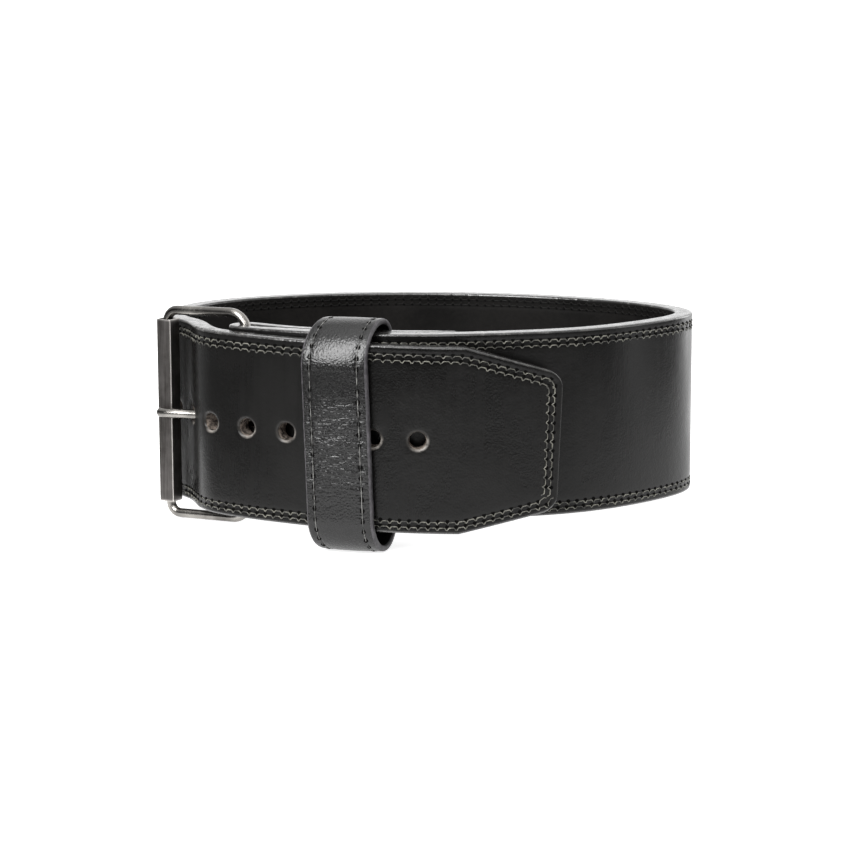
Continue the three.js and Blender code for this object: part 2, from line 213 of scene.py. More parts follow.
def turned_right(along):
    """The outward direction for a direction of travel, in plan."""
    return np.stack([along[..., 1], -along[..., 0]], axis=-1)


def run_lengths(line):
    """How far along a line each of its points lies."""
    steps = np.linalg.norm(np.diff(line, axis=0), axis=1)
    return np.concatenate([[0], np.cumsum(steps)])


def picked(places, lengths, values):
    """Rows of values, read at places along the lengths that they belong to."""
    columns = [np.interp(places, lengths, column) for column in np.transpose(values)]
    return np.stack(columns, axis=-1)


def at_height(points, height):
    """Plan points raised to their heights."""
    return np.concatenate([points, np.asarray(height)[..., None]], axis=-1)


class WaistLine:
    """A closed curve with an even bend through the rows of WAIST_LINE."""

    def __init__(self):
        rows = np.array(WAIST_LINE) * (WAIST_ACROSS, WAIST_DEEP)
        count = len(rows)
        pull = np.zeros((count, count))
        for k in range(count):
            pull[k, k] = 4 / 6
            pull[k, k - 1] = pull[k, (k + 1) % count] = 1 / 6
        self.controls = np.linalg.solve(pull, rows)
        self.knots = np.linspace(0, count, WAIST_SAMPLES)
        self.lengths = run_lengths(self.at_knot(self.knots)[0])
        self.length = self.lengths[-1]

    def at_knot(self, knot):
        """The point and the direction of travel at a knot value."""
        span = np.floor(knot).astype(int)
        u = (knot - span)[..., None]
        c0, c1, c2, c3 = (self.controls[(span + k) % len(self.controls)] for k in (-1, 0, 1, 2))
        point = (1 - u) ** 3 * c0 + (3 * u**3 - 6 * u**2 + 4) * c1
        point = (point + (-3 * u**3 + 3 * u**2 + 3 * u + 1) * c2 + u**3 * c3) / 6
        travel = (3 * u**2 - 4 * u) * c1 + (-3 * u**2 + 2 * u + 1) * c2
        travel = travel + u**2 * c3 - (1 - u) ** 2 * c0
        return point, unit(travel)

    def off(self, station, stand_off):
        """Points that stand off the line at stations, with the directions along and out."""
        knot = np.interp(np.mod(station, self.length), self.lengths, self.knots)
        point, along = self.at_knot(knot)
        out = turned_right(along)
        return point + out * np.asarray(stand_off)[..., None], along, out


waist = WaistLine()
roller_station = waist.length - FRAME_REACH
tongue_past = PRONG_REACH + HOLES_SHOWN * HOLE_PITCH + HOLE_TO_TIP
sag_run = DROOP_RUN_IN + tongue_past
fold_inside = WIRE_DIAMETER / 2 + TOUCH_GAP
fold_radius = fold_inside + FOLD_THICKNESS / 2


def sag_at(station):
    """How far the strap has sagged at a station, and how steeply."""
    run = np.maximum(0, station - roller_station + DROOP_RUN_IN)
    return -TIP_DROOP * (run / sag_run) ** 2, 2 * TIP_DROOP * run / sag_run**2


def body_thickness(station):
    return blend(FOLD_THICKNESS, STRAP_THICKNESS, smoothstep(station, 0, PARED_LENGTH))


def tongue_rise(station):
    start = roller_station + RISE_DELAY
    return (STRAP_THICKNESS + TONGUE_GAP) * smoothstep(station, start, start + RISE_LENGTH)


bar_depth = -(FOLD_THICKNESS + fold_inside)
bar_point, bar_along, bar_out = (v[0] for v in waist.off(np.zeros(1), [bar_depth]))


class StrapRoute:
    """The strap's middle line: the folded end, the fold, the body and the tongue."""

    def __init__(self):
        parts = [self.return_leg(), self.fold(), self.body_and_tongue()]
        columns = [np.concatenate(values) for values in zip(*parts)]
        self.points, self.thick, self.drop, self.tilt, station = columns
        self.lengths = run_lengths(self.points)
        self.along = unit(np.gradient(self.points, self.lengths, axis=0))
        at_roller = self.lengths[np.argmax(station >= roller_station)]
        self.length = at_roller + tongue_past

    def return_leg(self):
        station = np.arange(RETURN_LENGTH, 0, -ROUTE_STEP)
        apart = blend(2 * fold_inside, LAYER_GAP, smoothstep(station, 0, PARED_LENGTH))
        thinned = smoothstep(station, RETURN_LENGTH - RETURN_TIP_LENGTH, RETURN_LENGTH)
        thick = blend(FOLD_THICKNESS, RETURN_TIP_THICKNESS, thinned)
        point, _, _ = waist.off(station, -(body_thickness(station) + apart + thick / 2))
        level = np.zeros_like(station)
        return point, thick, level, level, level - 1

    def fold(self):
        turn = np.linspace(0, math.pi, FOLD_SAMPLES)[:, None]
        point = bar_point - fold_radius * (bar_out * np.cos(turn) + bar_along * np.sin(turn))
        level = np.zeros(len(turn))
        return point, level + FOLD_THICKNESS, level, level, level - 1

    def body_and_tongue(self):
        station = np.arange(ROUTE_STEP, roller_station + tongue_past + ROUTE_SPARE, ROUTE_STEP)
        thick = body_thickness(station)
        point, _, _ = waist.off(station, tongue_rise(station) - thick / 2)
        drop, tilt = sag_at(station)
        return point, thick, drop, tilt, station

    def read(self, length, values):
        return np.interp(length, self.lengths, values)

    def half(self, length):
        return self.read(length, self.thick) / 2

    def at(self, length, aside, height):
        """Points of the strap: off its middle line by aside, at heights over its lower edge."""
        length, aside, height = np.broadcast_arrays(length, aside, height)
        along = unit(picked(length, self.lengths, self.along))
        point = picked(length, self.lengths, self.points) + turned_right(along) * aside[..., None]
        point = point + along * (self.read(length, self.tilt) * (height - MIDDLE))[..., None]
        return at_height(point, height + self.read(length, self.drop))


route = StrapRoute()
fold_middle = RETURN_LENGTH + math.pi * fold_radius / 2
furthest_hole = route.length - HOLE_TO_TIP


def edge_inset(to_tip):
    """How far the strap's edges draw in near the tip."""
    slant = CLIP_DEPTH * np.maximum(0, 1 - to_tip / CLIP_LENGTH)
    into = np.maximum(0, TIP_CORNER - to_tip)
    return slant + TIP_CORNER - np.sqrt(TIP_CORNER**2 - into**2)


class Placing:
    """Takes the waist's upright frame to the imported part's frame, in which the belt leans."""

    def __init__(self, roller_centre):
        pitch = Matrix.Rotation(math.radians(REST_PITCH_DEG), 4, "X")
        turn = pitch @ Matrix.Rotation(math.radians(REST_ROLL_DEG), 4, "Y")
        low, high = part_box("roller")
        self.matrix = Matrix.Translation((low + high) / 2 - turn @ roller_centre) @ turn

    def points(self, points):
        turned = np.asarray(points).reshape(-1, 3) @ np.array(self.matrix.to_3x3()).T
        return turned + np.array(self.matrix.translation)


def maths(operation, turned=False):
    """An operator of Flow, which adds one Math node; turned is its reflected form."""
    def operator(self, other):
        return self.math(operation, other, self) if turned else self.math(operation, self, other)

    return operator


class Flow:
    """A number on its way between nodes. Arithmetic on it adds Math nodes."""

    def __init__(self, sheet, socket):
        self.sheet = sheet
        self.socket = socket

    def math(self, operation, *terms):
        node = self.sheet.add("ShaderNodeMath", dict(enumerate(terms)), operation=operation)
        return Flow(self.sheet, node.outputs[0])

    __add__ = __radd__ = maths("ADD")
    __mul__ = __rmul__ = maths("MULTIPLY")
    __sub__ = maths("SUBTRACT")
    __rsub__ = maths("SUBTRACT", turned=True)
    __truediv__ = maths("DIVIDE")
    __rtruediv__ = maths("DIVIDE", turned=True)
    greatest = maths("MAXIMUM")

    def absolute(self):
        return self.math("ABSOLUTE", self)

    def ramp(self, low, high, to_low=0.0, to_high=1.0):
        """Goes smoothly from to_low, below low, to to_high, above high."""
        values = {"Value": self, "From Min": low, "From Max": high, "To Min": to_low, "To Max": to_high}
        node = self.sheet.add("ShaderNodeMapRange", values, interpolation_type="SMOOTHSTEP")
        return Flow(self.sheet, node.outputs["Result"])


class Sheet:
    """A tree of nodes, to which nodes are added by type, socket values and settings."""

    def __init__(self, tree):
        self.tree = tree

    def add(self, kind, values=None, **settings):
        node = self.tree.nodes.new(kind)
        for name, value in settings.items():
            setattr(node, name, value)
        for name, value in (values or {}).items():
            self.feed(self.socket(node.inputs, name), value)
        return node

    @staticmethod
    def socket(sockets, name):
        """A socket by its place, its identifier or its name."""
        if isinstance(name, int):
            return sockets[name]
        return next((s for s in sockets if s.identifier == name), None) or sockets[name]

    def feed(self, socket, value):
        """Sets a socket, or links a number, a socket or a node's first output to it."""
        if isinstance(value, Flow):
            value = value.socket
        if isinstance(value, bpy.types.Node):
            value = value.outputs[0]
        if isinstance(value, bpy.types.NodeSocket):
            self.tree.links.new(value, socket)
        else:
            socket.default_value = value


class Finish(Sheet):
    """A material's node tree, built round one Principled shader."""

    def __init__(self, name):
        self.material = bpy.data.materials.new(name)
        self.material.use_nodes = True
        super().__init__(self.material.node_tree)
        self.tree.nodes.clear()
        coordinates = self.add("ShaderNodeTexCoord")
        self.place = coordinates.outputs["Object"]
        self.own_uv = coordinates.outputs["UV"]

    def cloud(self, scale, detail=2.0, roughness=0.5, vector=None):
        """Soft noise from 0 to 1."""
        values = {"Vector": vector or self.place, "Scale": scale}
        values.update({"Detail": detail, "Roughness": roughness})
        return Flow(self, self.add("ShaderNodeTexNoise", values).outputs["Fac"])

    def streaks(self, scale, detail, roughness):
        """Soft noise with a scale of its own along each of the mesh's UVs."""
        mapping = self.add("ShaderNodeMapping", {"Vector": self.own_uv, "Scale": (*scale, 1)})
        return self.cloud(1.0, detail, roughness, mapping)

    def pebbles(self, scale, feature="F1"):
        """Distance to the nearest of many scattered cells."""
        values = {"Vector": self.place, "Scale": scale}
        return Flow(self, self.add("ShaderNodeTexVoronoi", values, feature=feature).outputs["Distance"])

    def painted(self, name):
        """A number stored on the mesh's points."""
        return Flow(self, self.add("ShaderNodeAttribute", attribute_name=name).outputs["Fac"])

    def mix(self, share, under, over):
        """A colour laid over another by a number from 0 to 1."""
        values = {"Factor_Float": share, "A_Color": as_colour(under), "B_Color": as_colour(over)}
        node = self.add("ShaderNodeMix", values, data_type="RGBA")
        return self.socket(node.outputs, "Result_Color")

    def shade(self, colour, roughness, shine, *layers, **others):
        """Ends the tree. Each layer of relief is a number with its depth in metres."""
        inputs = {"Base Color": colour, "Roughness": roughness, "Specular IOR Level": shine}
        inputs.update({name.replace("_", " "): value for name, value in others.items()})
        for height, depth in layers:
            values = {"Height": height, "Distance": depth, "Strength": 1.0}
            if "Normal" in inputs:
                values["Normal"] = inputs["Normal"]
            inputs["Normal"] = self.add("ShaderNodeBump", values)
        shader = self.add("ShaderNodeBsdfPrincipled", inputs)
        self.add("ShaderNodeOutputMaterial", {"Surface": shader})
        return self.material


def as_colour(colour):
    return colour if isinstance(colour, bpy.types.NodeSocket) else (*colour, 1)


def face_leather():
    """Smooth dyed leather with a soft sheen, fine pores and faint streaks up and down. Round the holes'
    mouths it is painted lighter, partly as rubbed leather and partly as a painted highlight on the
    lower rim.
    """
    sheet = Finish("face leather")
    pores = sheet.pebbles(900)
    grain = sheet.cloud(260, 3.0, 0.6)
    streaks = sheet.streaks((260, 14), 3.0, 0.6)
    patches = sheet.cloud(22, 3.0)
    # The point number lightens the holes' rims: partly rubbed wear, partly a painted highlight where
    # light from above falls on the lower rim.
    wear_and_highlight = sheet.painted("wear_and_highlight") * grain.ramp(0.3, 0.6, 0.2, 1.0)
    shade = (patches * 0.75 + streaks * 0.25).ramp(0.3, 0.72)
    colour = sheet.mix(shade, (0.0022, 0.0021, 0.002), (0.005, 0.0048, 0.0046))
    colour = sheet.mix(wear_and_highlight, colour, (0.26, 0.24, 0.22))
    roughness = patches.ramp(0.3, 0.7, 0.24, 0.33) + streaks.ramp(0.3, 0.7, -0.02, 0.02)
    relief = (patches, 0.5 * MM), (grain, 0.09 * MM), (pores, 0.05 * MM)
    return sheet.shade(colour, roughness, 0.2, *relief)


def lining_leather():
    """The inner leather: duller, with a rubbed nap."""
    sheet = Finish("lining leather")
    nap = sheet.cloud(420, 4.0, 0.65)
    patches = sheet.cloud(30, 3.0)
    shade = (patches * 0.6 + nap * 0.4).ramp(0.35, 0.65)
    colour = sheet.mix(shade, (0.002, 0.0018, 0.0016), (0.0055, 0.0049, 0.0045))
    roughness = patches.ramp(0.3, 0.7, 0.5, 0.62)
    return sheet.shade(colour, roughness, 0.11, (patches, 0.5 * MM), (nap, 0.12 * MM))


def edge_paint():
    """The strap's edge, painted, burnished and rubbed in places."""
    sheet = Finish("edge paint")
    rubbed = sheet.cloud(210, 4.0, 0.6)
    fine = sheet.cloud(500, 3.0, 0.6)
    colour = sheet.mix(rubbed.ramp(0.45, 0.75), (0.02, 0.0196, 0.019), (0.065, 0.0635, 0.061))
    roughness = rubbed.ramp(0.3, 0.7, 0.13, 0.28)
    return sheet.shade(colour, roughness, 0.7, (rubbed, 0.35 * MM), (fine, 0.05 * MM))


def raw_leather():
    """The undyed fibres inside a punched hole."""
    sheet = Finish("raw leather")
    fibres = sheet.cloud(900, 4.0, 0.7)
    shade = (fibres * 0.4 + sheet.cloud(380, 2.0) * 0.6).ramp(0.4, 0.62)
    colour = sheet.mix(shade, (0.018, 0.0145, 0.012), (0.17, 0.14, 0.118))
    return sheet.shade(colour, 0.85, 0.2, (fibres, 0.3 * MM))


def keeper_leather():
    """Glossy leather with a pebbled grain, creased across the middle of the keeper."""
    sheet = Finish("keeper leather")
    pebbles = sheet.pebbles(1000, feature="SMOOTH_F1")
    fine = sheet.cloud(700, 3.0, 0.6)
    creases = sheet.streaks((640, 210), 2.0, 0.5)
    shade = (fine * 0.5 + creases * 0.5).ramp(0.35, 0.65)
    colour = sheet.mix(shade, (0.002, 0.002, 0.002), (0.005, 0.0049, 0.0049))
    creased = creases * sheet.painted("creased")
    relief = (creased, 0.6 * MM), (pebbles, 0.14 * MM), (fine, 0.05 * MM)
    return sheet.shade(colour, fine.ramp(0.3, 0.7, 0.22, 0.3), 0.43, *relief)


def keeper_edge():
    """The keeper's cut edge, rubbed to a lighter, faintly violet grey."""
    sheet = Finish("keeper edge")
    rubbed = sheet.cloud(260, 4.0, 0.6)
    colour = sheet.mix(rubbed.ramp(0.35, 0.65), (0.022, 0.0203, 0.023), (0.055, 0.0513, 0.0562))
    return sheet.shade(colour, 0.5, 0.45, (rubbed, 0.15 * MM))


def strap_thread():
    """Waxed thread, khaki grey, twisted and a little dirty."""
    sheet = Finish("waxed thread")
    dirt = sheet.cloud(330, 3.0)
    colour = sheet.mix(dirt.ramp(0.35, 0.7), (0.018, 0.0176, 0.0148), (0.15, 0.146, 0.122))
    return sheet.shade(colour, 0.45, 0.5, (sheet.cloud(2600, 1.0), 0.15 * MM))


def black_thread(name, light, shine):
    """Black waxed thread with light dirt."""
    sheet = Finish(name)
    dirt = sheet.cloud(330, 3.0)
    colour = sheet.mix(dirt.ramp(0.35, 0.65), (0.005, 0.005, 0.0045), light)
    return sheet.shade(colour, 0.4, shine, (dirt, 0.1 * MM))


def hole_shade_finish():
    """Painted shade: the dark inside of a needle hole, laid on a flat disc."""
    sheet = Finish("painted hole shade")
    dust = sheet.cloud(900, 2.0).ramp(0.5, 0.8)
    colour = sheet.mix(dust, (0.0015, 0.0015, 0.0014), (0.006, 0.0058, 0.0055))
    return sheet.shade(colour, 0.9, 0.05)


def buckle_steel():
    """Bright plated wire with small scuffs and dull patches."""
    sheet = Finish("buckle steel")
    scuffs = sheet.cloud(420, 4.0, 0.7)
    dull = sheet.cloud(60, 3.0)
    colour = sheet.mix(dull.ramp(0.35, 0.7), (0.14, 0.134, 0.126), (0.3, 0.288, 0.27))
    roughness = dull.ramp(0.3, 0.7, 0.16, 0.28) + scuffs.ramp(0.55, 0.75, 0.0, 0.14)
    return sheet.shade(colour, roughness, 0.5, (dull, 0.25 * MM), (scuffs, 0.02 * MM), Metallic=1.0)


def roller_steel():
    """Dull, darkened sheet, drawn lengthwise, painted bright at its corners and ends: rubbed wear, and
    along the corners also a painted highlight.
    """
    sheet = Finish("roller steel")
    drawn = sheet.streaks((1500, 25), 4.0, 0.65)
    stains = sheet.cloud(90, 4.0, 0.6)
    shade = drawn * 0.6 + stains * 0.4
    colour = sheet.mix(shade.ramp(0.35, 0.65), (0.055, 0.05, 0.047), (0.12, 0.112, 0.108))
    # The point number paints the corners near white: rubbed wear and a painted highlight of the
    # corners' edges.
    colour = sheet.mix(sheet.painted("wear_and_highlight"), colour, (0.85, 0.82, 0.78))
    roughness = shade.ramp(0.3, 0.7, 0.3, 0.45)
    relief = (stains, 0.2 * MM), (drawn, 0.05 * MM)
    return sheet.shade(colour, roughness, 0.5, *relief, Metallic=0.9)


def pale_floor():
    """A white floor that fades to grey outside the camera's field."""
    sheet = Finish("pale floor")
    parts = sheet.add("ShaderNodeSeparateXYZ", {"Vector": sheet.place})
    x, y = Flow(sheet, parts.outputs["X"]), Flow(sheet, parts.outputs["Y"])
    field = (y - CAMERA_BACK) * FIELD_SLOPE
    beside = ((x - field) * 0.5).greatest((x * -1 - field) * 3)
    near = beside.greatest(y * -1 - FIELD_FRONT).ramp(0, 0.2, 1.0, 0.25)
    colour = sheet.mix(near, BLACK, FLOOR_COLOUR)
    glow = sheet.mix(near, BLACK, FLOOR_GLOW)
    return sheet.shade(colour, 0.9, 0.1, Emission_Color=glow, Emission_Strength=1.0)


def new_object(name, data):
    """An object of the scene that shows the data."""
    obj = bpy.data.objects.new(name, data)
    bpy.context.scene.collection.objects.link(obj)
    return obj


def uvs_at(length, girth):
    """UVs of a row of points: their one length, and the way round to each."""
    return np.stack([np.full_like(girth, length), girth], axis=-1)


class Shell:
    """Corners and faces that become one mesh, with a layer of UVs in metres and point numbers."""

    def __init__(self):
        self.corners, self.uvs, self.numbers = [], [], []
        self.faces, self.finishes = [], []

    def add_points(self, points, uvs, numbers=0.0):
        """Adds points and returns their indices, in the shape of the UVs."""
        start = len(self.corners)
        points = np.asarray(points).reshape(-1, 3)
        self.corners.extend(points.tolist())
        self.uvs.extend(np.asarray(uvs).reshape(-1, 2).tolist())
        self.numbers.extend(np.broadcast_to(numbers, len(points)).tolist())
        return np.arange(start, start + len(points)).reshape(np.asarray(uvs).shape[:-1])

    def add_face(self, corners, finish):
        self.faces.append([int(c) for c in corners])
        self.finishes.append(finish)

    def band(self, lower, upper, finishes=0, opened=()):
        """Quads between two closed rows of points, each with its finish, but for the opened ones."""
        for k, finish in enumerate(np.broadcast_to(finishes, len(lower))):
            if k not in opened:
                n = (k + 1) % len(lower)
                self.add_face((lower[k], lower[n], upper[n], upper[k]), int(finish))

    def bands(self, rows):
        """Quads from row to row, in the one finish."""
        for lower, upper in zip(rows, rows[1:]):
            self.band(lower, upper)

    def build(self, name, placing, materials, number_name="wear_and_highlight"):
        """The finished object, its normals outwards, in the part's frame."""
        mesh = bpy.data.meshes.new(name)
        mesh.from_pydata(placing.points(self.corners).tolist(), [], self.faces)
        layer = mesh.uv_layers.new(name="grain")
        loop_points = np.empty(len(mesh.loops), int)
        mesh.loops.foreach_get("vertex_index", loop_points)
        layer.data.foreach_set("uv", np.array(self.uvs)[loop_points].ravel())
        mesh.attributes.new(number_name, "FLOAT", "POINT").data.foreach_set("value", self.numbers)
        for material in materials:
            mesh.materials.append(material)
        mesh.polygons.foreach_set("material_index", self.finishes)
        faces_out(mesh)
        mesh.shade_smooth()
        return new_object(name, mesh)


def faces_out(mesh):
    work = bmesh.new()
    work.from_mesh(mesh)
    bmesh.ops.recalc_face_normals(work, faces=work.faces)
    work.to_mesh(mesh)
    work.free()


def sharpened(obj, degrees):
    """Keeps the edges of obj crisp where its faces meet at more than this angle."""
    obj.data.set_sharp_from_angle(angle=math.radians(degrees))
    return obj


def strap_lengths():
    """The lengths along the strap at which its mesh has a ring."""
    cell = HOLE_PITCH / CELLS_PER_PITCH
    first_hole = furthest_hole - (HOLE_COUNT - 1) * HOLE_PITCH
    row_start = first_hole - PATCH_CELLS * cell
    row_end = furthest_hole + PATCH_CELLS * cell
    clip_start = route.length - CLIP_LENGTH
    marks = [
        (0, 0.3 * MM), (EDGE_ROUND, RING_STEP), (fold_middle - FOLD_REACH, FOLD_RING_STEP),
        (fold_middle + FOLD_REACH, RING_STEP), (row_start, cell), (row_end, RING_STEP),
        (clip_start, CLIP_RING_STEP), (route.length - TIP_CORNER, 0),
    ]
    lengths = []
    for (start, step), (end, _) in zip(marks, marks[1:]):
        lengths.append(np.linspace(start, end, max(1, round((end - start) / step)), endpoint=False))
    turn = np.radians(np.arange(0, 90, 9))
    lengths.append(route.length - TIP_CORNER * (1 - np.sin(turn)))
    lengths.append(route.length - EDGE_ROUND * (1 - np.sin(turn[2:])))
    return np.append(np.concatenate(lengths), route.length)


def rounded_away(to_end, radius):
    """How far a rounded edge has drawn in, at a distance from the end."""
    into = np.clip(radius - to_end, 0, radius)
    return radius - np.sqrt(radius**2 - into**2)


# How far the seams press the face in, by the distance from the edge.
SEAM_VALLEY = ([0, 2.8 * MM, 4.0 * MM, 5.5 * MM, 7.0 * MM, 8.6 * MM], [0, 0, 1, 0.6, 1, 0])
EDGE_COLUMNS = np.array([1.1, 1.9, 2.9, 4.0, 5.5, 7.0, 8.2, 9.4, 12]) * MM


def face_heights(inset):
    """Heights of the mesh's columns on a face of the strap, from the lower edge up."""
    low = inset + EDGE_COLUMNS
    middle = MIDDLE + MIDDLE_CELL * np.arange(-PATCH_CELLS, PATCH_CELLS + 1)
    between = np.linspace(low[-1], middle[0], 5)[1:-1]
    lower = np.concatenate([low, between])
    return np.concatenate([lower, middle, STRAP_WIDTH - lower[::-1]])


def round_section(face, outer, inner, edge, half, corner, flats):
    """Places across and stand-offs round a rounded section, from the outer face's first column."""
    arc_in, arc_on = corner * (1 - np.cos(ARC_TURNS)), corner * np.sin(ARC_TURNS)
    rim = edge - corner + arc_on
    wall = half - arc_in
    flat = np.linspace(half - corner, corner - half, flats)
    across = [face, -rim, [-edge] * flats, -rim[::-1], face[::-1], rim, [edge] * flats, rim[::-1]]
    stand = [outer, wall, flat, -wall[::-1], inner, -wall, -flat, wall[::-1]]
    return np.concatenate(across), np.concatenate(stand)


def strap_section(length):
    """One ring of the strap: aside and height of each point."""
    to_tip = route.length - length
    shrink = rounded_away(to_tip, EDGE_ROUND) + rounded_away(length, EDGE_ROUND)
    inset = edge_inset(to_tip) + shrink
    half = route.half(length) - shrink
    corner = min(EDGE_ROUND, half * 0.85)
    heights = face_heights(inset)
    heights[0] = inset + corner
    heights[-1] = STRAP_WIDTH - inset - corner
    from_edge = np.minimum(heights - inset, STRAP_WIDTH - inset - heights)
    from_edge = np.minimum(from_edge, min(to_tip, length))
    face = half - SEAM_SINK * np.interp(from_edge, *SEAM_VALLEY)
    downwards = heights[::-1] - MIDDLE
    across, aside = round_section(downwards, face, -face, MIDDLE - inset, half, corner, EDGE_FLATS)
    return aside, MIDDLE + across


FACE, LINING, EDGE, RAW = range(4)
FACE_COLUMNS = len(face_heights(0.0))
OUTER_MIDDLE = FACE_COLUMNS // 2
INNER_MIDDLE = FACE_COLUMNS + 2 * len(ARC_TURNS) + EDGE_FLATS + OUTER_MIDDLE


def section_finishes(columns, flats):
    """The finish of the strip that starts at each point of a rounded section."""
    edge = [EDGE] * (2 * len(ARC_TURNS) + flats + 1)
    return [FACE] * (columns - 1) + edge + [LINING] * (columns - 1) + edge


def ripple(points):
    """The slight unevenness of thick leather, as a stand-off for each point."""
    return np.array([noise.noise(Vector(p) * 16) + 0.4 * noise.noise(Vector(p) * 45) for p in points])


def opening_walk(first, last, reach):
    """The places round an opening between two rings, as ring and columns from the middle."""
    side = range(-reach, reach)
    right = [(last, k) for k in side] + [(r, reach) for r in range(last, first, -1)]
    return right + [(first, -k) for k in side] + [(r, -reach) for r in range(first, last)]


def opening_rims(rings, walk):
    """The points on the outer and on the inner face along a walk."""
    return [rings[r][OUTER_MIDDLE - k] for r, k in walk], [rings[r][INNER_MIDDLE + k] for r, k in walk]


def opening_cells(first, last, reach):
    """The quads of both faces that an opening leaves out."""
    columns = [middle + k for middle in (OUTER_MIDDLE, INNER_MIDDLE) for k in range(-reach, reach)]
    return {(ring, column) for ring in range(first, last) for column in columns}


# The shape of a punched hole, from its dished mouth to the back: radius and depth in mm, and wear, a
# number that also paints the rim's highlight.
HOLE_MOUTH = [
    (6.4, 0.0, 0.0), (5.9, 0.07, 0.25), (5.4, 0.25, 0.7), (5.0, 0.6, 1.0), (4.7, 1.1, 0.8),
    (4.5, 1.9, 0.3),
]
HOLE_BACK = [(4.5, 1.9, 0.2), (4.6, 0.8, 0.4), (4.9, 0.3, 0.4), (5.6, 0.0, 0.0)]
# The side of each hole's rim that is painted lightest, as wear and as a painted highlight.
HOLE_WORN_AND_LIT_SIDE = math.radians(50)
HOLE_LEAST_WEAR_AND_HIGHLIGHT = 0.12
HOLE_FINISHES = [FACE] * 5 + [RAW] * 5 + [LINING]


def punch_hole(shell, rings, ring, centre):
    """Lines a round hole in a square opening about a ring, and returns the quads to leave out."""
    span = (ring - PATCH_CELLS, ring + PATCH_CELLS, PATCH_CELLS)
    walk = opening_walk(*span)
    front, back = opening_rims(rings, walk)
    turn = np.array([math.atan2(k, r - ring) for r, k in walk])
    # The rim is painted lightest low down toward the tip: partly rubbed wear, partly a painted
    # highlight of light falling from above.
    rubbed = blend(HOLE_LEAST_WEAR_AND_HIGHLIGHT, 1, smoothstep(np.cos(turn + HOLE_WORN_AND_LIT_SIDE), 0, 1))
    half = route.half(centre)
    rows = [front]
    for side, shape in ((1, HOLE_MOUTH), (-1, HOLE_BACK)):
        for radius, depth, wear_and_highlight in shape:
            across = centre + radius * MM * np.cos(turn)
            up = MIDDLE + radius * MM * np.sin(turn)
            points = route.at(across, side * (half - depth * MM), up)
            uvs = np.stack([across, up + depth * MM], axis=-1)
            rows.append(shell.add_points(points, uvs, wear_and_highlight * rubbed))
    rows.append(back)
    for lower, upper, finish in zip(rows, rows[1:], HOLE_FINISHES):
        shell.band(lower, upper, finish)
    return opening_cells(*span)


def open_slot(shell, rings, lengths):
    """Walls the prong's slot in the fold, and returns the quads to leave out."""
    reach = round((PRONG_DIAMETER / 2 + SLOT_ROOM) / MIDDLE_CELL)
    slot_half = fold_radius + WIRE_DIAMETER
    ends = fold_middle - slot_half, fold_middle + slot_half
    span = (*(int(np.argmin(np.abs(lengths - end))) for end in ends), reach)
    shell.band(*opening_rims(rings, opening_walk(*span)), RAW)
    return opening_cells(*span)


def strap(placing):
    """The strap: its skin from ring to ring, with the holes and the slot left open and lined."""
    lengths = strap_lengths()
    shell = Shell()
    rings = []
    for length in lengths:
        aside, height = strap_section(length)
        girth = run_lengths(np.stack([aside, height], axis=-1))
        aside = aside + np.sign(aside) * RIPPLE * ripple(route.at(length, aside, height))
        rings.append(shell.add_points(route.at(length, aside, height), uvs_at(length, girth)))
    opened = open_slot(shell, rings, lengths)
    for k in range(HOLE_COUNT):
        ring = int(np.argmin(np.abs(lengths - furthest_hole + k * HOLE_PITCH)))
        opened |= punch_hole(shell, rings, ring, lengths[ring])
    finishes = section_finishes(FACE_COLUMNS, EDGE_FLATS)
    for ring, (lower, upper) in enumerate(zip(rings, rings[1:])):
        shell.band(lower, upper, finishes, {k for r, k in opened if r == ring})
    shell.add_face(rings[0], EDGE)
    shell.add_face(rings[-1], EDGE)
    materials = [face_leather(), lining_leather(), edge_paint(), raw_leather()]
    return sharpened(shell.build("belt_strap", placing, materials), 50)


def cut_corner_outline(inset):
    """The strap's outline in the flat, drawn in by inset."""
    end = route.length - inset
    slope = CLIP_DEPTH / CLIP_LENGTH
    slant = inset * math.hypot(1, slope)
    clip = route.length - CLIP_LENGTH - (slant - inset) / slope
    high = STRAP_WIDTH - inset
    shoulder = STRAP_WIDTH - slant - slope * (end - (route.length - CLIP_LENGTH))
    upper = [(inset, high), (clip, high), (end, shoulder)]
    lower = [(length, STRAP_WIDTH - height) for length, height in reversed(upper)]
    return [Vector(p) for p in upper + lower]


def softened(corners, radius):
    """A closed outline whose corners are eased by a small curve."""
    line = []
    for k, corner in enumerate(corners):
        before = (corners[k - 1] - corner).normalized()
        after = (corners[(k + 1) % len(corners)] - corner).normalized()
        start, end = corner + before * radius, corner + after * radius
        for share in np.linspace(0, 1, 7):
            line.append(start.lerp(corner, share).lerp(corner.lerp(end, share), share))
    return line


def walked(line, pitch, shift):
    """Evenly spaced points on a closed line, about pitch apart, moved on by a share of it."""
    line = np.vstack([line, line[:1]])
    lengths = run_lengths(line)
    count = round(lengths[-1] / pitch)
    return picked((np.arange(count) + shift) * lengths[-1] / count, lengths, line)


